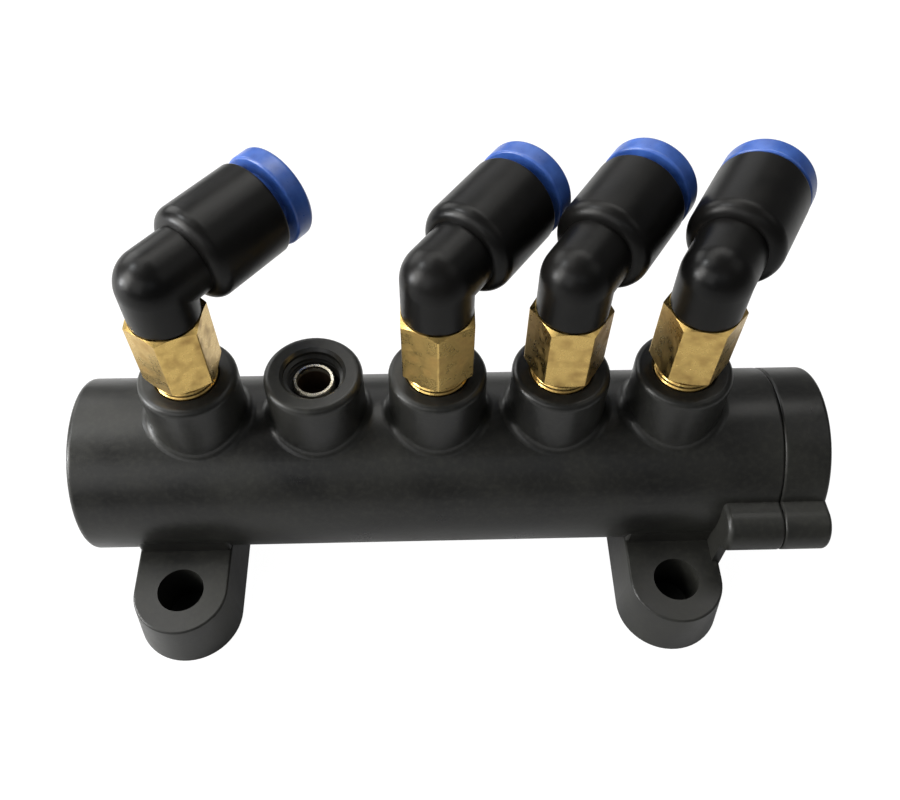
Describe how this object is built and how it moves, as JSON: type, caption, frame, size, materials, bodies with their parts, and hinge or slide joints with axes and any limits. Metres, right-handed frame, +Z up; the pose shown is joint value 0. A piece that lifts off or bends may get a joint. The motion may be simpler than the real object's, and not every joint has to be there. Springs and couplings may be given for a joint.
{
  "type": "pneumatic five-way valve",
  "caption": "Barrel-shaped spool valve with a row of ports on top, swivelling push-in elbow fittings with release rings, an end cap and side feet for bolting down.",
  "frame": {"origin": "on the base plane, midway between the two foot holes", "axes": "+X along the bore towards the end cap, +Y from the feet towards the barrel, +Z up, the way the ports open"},
  "size_m": [0.1281, 0.0563, 0.069],
  "materials": {
    "body_plastic": "moulded, slightly satin, glass-filled",
    "fitting_plastic": "smooth moulded, semi-gloss",
    "ring_plastic": "smooth moulded, satin",
    "retainer_plastic": "moulded",
    "brass": "turned and milled, dull",
    "jet_metal": "plated, turned",
    "screw_steel": "blackened",
    "spool_metal": "ground and anodised",
    "spring_steel": "rolled",
    "cage_plastic": "moulded",
    "seal_rubber": "smooth"
  },
  "bodies": {
    "valve": {"valve_body": "body_plastic", "end_cap": "body_plastic", "cap_seal": "seal_rubber", "cap_screws": "screw_steel", "end_spacer": "cage_plastic", "exhaust_jet": "jet_metal", "spool_seal_1": "seal_rubber", "spool_seal_2": "seal_rubber", "spool_seal_3": "seal_rubber", "spool_seal_4": "seal_rubber", "spool_seal_5": "seal_rubber", "spool_seal_6": "seal_rubber", "port_cage_1": "cage_plastic", "port_cage_2": "cage_plastic", "port_cage_3": "cage_plastic", "port_cage_4": "cage_plastic", "port_cage_5": "cage_plastic", "stud_1": "brass", "swivel_seal_1": "seal_rubber", "stud_3": "brass", "swivel_seal_3": "seal_rubber", "stud_4": "brass", "swivel_seal_4": "seal_rubber", "stud_5": "brass", "swivel_seal_5": "seal_rubber"},
    "spool": {"spool": "spool_metal"},
    "elbow_1": {"elbow_1": "fitting_plastic", "tube_seal_1": "seal_rubber", "grab_ring_1": "spring_steel", "retainer_1": "retainer_plastic"},
    "release_ring_1": {"release_ring_1": "ring_plastic"},
    "elbow_3": {"elbow_3": "fitting_plastic", "tube_seal_3": "seal_rubber", "grab_ring_3": "spring_steel", "retainer_3": "retainer_plastic"},
    "release_ring_3": {"release_ring_3": "ring_plastic"},
    "elbow_4": {"elbow_4": "fitting_plastic", "tube_seal_4": "seal_rubber", "grab_ring_4": "spring_steel", "retainer_4": "retainer_plastic"},
    "release_ring_4": {"release_ring_4": "ring_plastic"},
    "elbow_5": {"elbow_5": "fitting_plastic", "tube_seal_5": "seal_rubber", "grab_ring_5": "spring_steel", "retainer_5": "retainer_plastic"},
    "release_ring_5": {"release_ring_5": "ring_plastic"}
  },
  "joints": [
    {"name": "spool_slide", "type": "slide", "parent": "valve", "child": "spool", "axis": [1, 0, 0], "range_m": [0, 0.008]},
    {"name": "swivel_1", "type": "hinge", "parent": "valve", "child": "elbow_1", "pos_m": [-0.0382, 0.0225, 0.06155], "axis": [0, 0, 1], "continuous": true},
    {"name": "release_1", "type": "slide", "parent": "elbow_1", "child": "release_ring_1", "axis": [-0.6428, -0.766, 0], "range_m": [0, 0.0014]},
    {"name": "swivel_3", "type": "hinge", "parent": "valve", "child": "elbow_3", "pos_m": [0.0018, 0.0225, 0.06155], "axis": [0, 0, 1], "range_deg": [0, 65]},
    {"name": "release_3", "type": "slide", "parent": "elbow_3", "child": "release_ring_3", "axis": [-0.5948, -0.8039, 0], "range_m": [0, 0.0014]},
    {"name": "swivel_4", "type": "hinge", "parent": "valve", "child": "elbow_4", "pos_m": [0.0218, 0.0225, 0.06155], "axis": [0, 0, 1], "range_deg": [-1.5, 1.5]},
    {"name": "release_4", "type": "slide", "parent": "elbow_4", "child": "release_ring_4", "axis": [-0.5592, -0.829, 0], "range_m": [0, 0.0014]},
    {"name": "swivel_5", "type": "hinge", "parent": "valve", "child": "elbow_5", "pos_m": [0.0418, 0.0225, 0.06155], "axis": [0, 0, 1], "range_deg": [-190, 0]},
    {"name": "release_5", "type": "slide", "parent": "elbow_5", "child": "release_ring_5", "axis": [-0.5075, -0.8616, 0], "range_m": [-0.0014, 0]}
  ]
}
